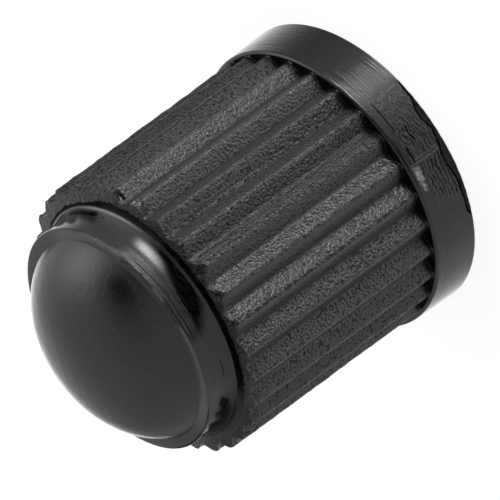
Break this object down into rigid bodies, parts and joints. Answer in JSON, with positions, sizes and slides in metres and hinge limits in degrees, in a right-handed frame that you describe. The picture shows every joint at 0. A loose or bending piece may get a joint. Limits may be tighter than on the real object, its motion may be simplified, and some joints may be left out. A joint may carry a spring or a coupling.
{
  "type": "tyre valve cap",
  "caption": "Black plastic screw-on dust cap for a tyre valve stem, with a smooth collar, a ribbed grip, a narrow shoulder and a short flared neck under a low dome.",
  "frame": {"origin": "centre of the mouth, on the plane of the mouth's rim, which the cap stands on", "axes": "+Z along the cap's axis from the mouth to the dome; X and Y turn freely about it, with a groove between ribs on +X"},
  "size_m": [0.01, 0.01, 0.0121],
  "materials": {
    "black_plastic": "black moulded plastic: fairly glossy on the dome, neck and collar, grained on the rib faces"
  },
  "bodies": {
    "root": {"valve_cap": "black_plastic"}
  },
  "joints": []
}
